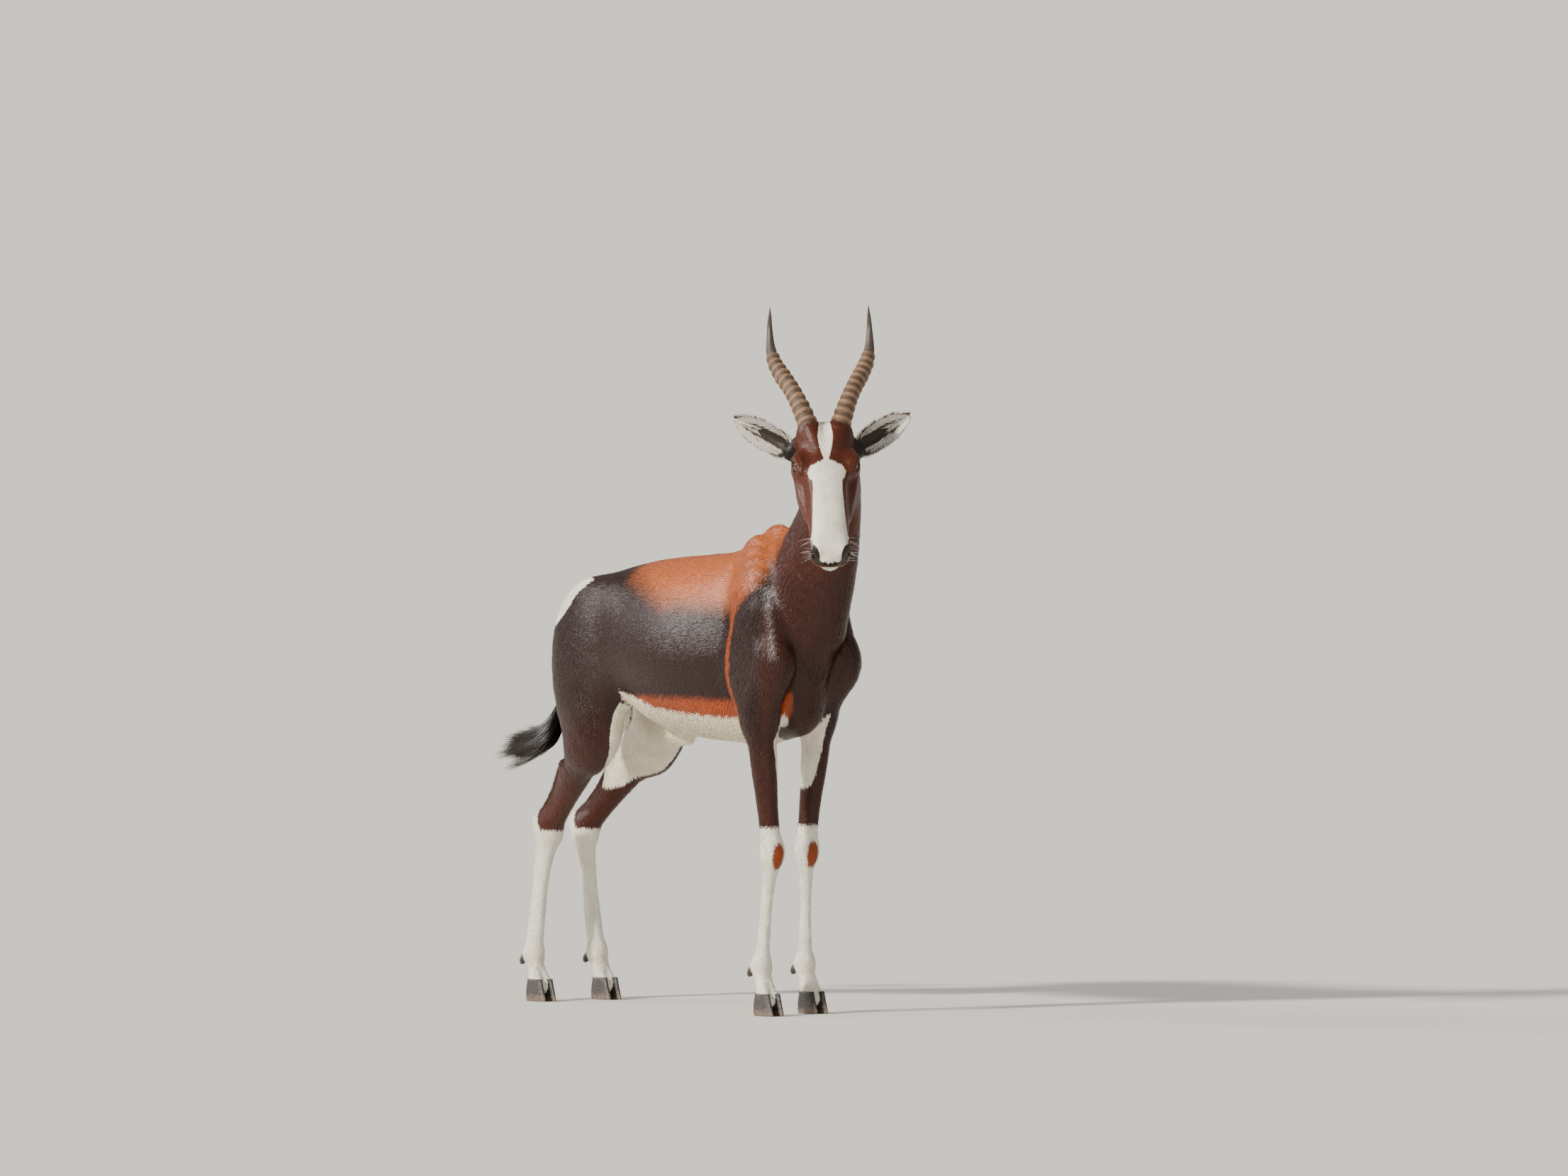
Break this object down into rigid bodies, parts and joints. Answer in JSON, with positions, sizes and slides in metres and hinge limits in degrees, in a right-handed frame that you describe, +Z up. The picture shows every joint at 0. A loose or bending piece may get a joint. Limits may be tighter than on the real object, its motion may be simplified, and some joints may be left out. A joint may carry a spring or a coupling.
{
  "type": "bontebok, standing",
  "caption": "Life-size still model of a bontebok ram standing alert, head turned to its right, with ringed horns, leaf-shaped ears, cloven hooves and a tail tuft blown back.",
  "frame": {"origin": "on the floor under the middle of the model's bounding box", "axes": "+X the way the body points, +Y the animal's left, +Z up"},
  "size_m": [1.3164, 0.2922, 1.3158],
  "materials": {
    "hide": "glossy short hair",
    "pale_hide": "matt short hair",
    "ear_skin": "matt short hair",
    "eye": "wet gloss",
    "horn": "satin",
    "tail_hair": "satin strands",
    "hoof": "satin"
  },
  "bodies": {
    "root": {"torso": "hide", "neck": "hide", "head": "hide", "tail_dock": "hide", "foreleg_upper_left": "hide", "hindleg_upper_left": "hide", "foreleg_upper_right": "hide", "hindleg_upper_right": "hide", "foreleg_lower_left": "pale_hide", "hindleg_lower_left": "pale_hide", "ear_left": "ear_skin", "eye_left": "eye", "horn_left": "horn", "foreleg_lower_right": "pale_hide", "hindleg_lower_right": "pale_hide", "ear_right": "ear_skin", "eye_right": "eye", "horn_right": "horn", "tail_tuft": "tail_hair", "hoof_fore_left_inner": "hoof", "dewclaw_fore_left_inner": "hoof", "hoof_fore_left_outer": "hoof", "dewclaw_fore_left_outer": "hoof", "hoof_fore_right_inner": "hoof", "dewclaw_fore_right_inner": "hoof", "hoof_fore_right_outer": "hoof", "dewclaw_fore_right_outer": "hoof", "hoof_hind_left_inner": "hoof", "dewclaw_hind_left_inner": "hoof", "hoof_hind_left_outer": "hoof", "dewclaw_hind_left_outer": "hoof", "hoof_hind_right_inner": "hoof", "dewclaw_hind_right_inner": "hoof", "hoof_hind_right_outer": "hoof", "dewclaw_hind_right_outer": "hoof"}
  },
  "joints": []
}
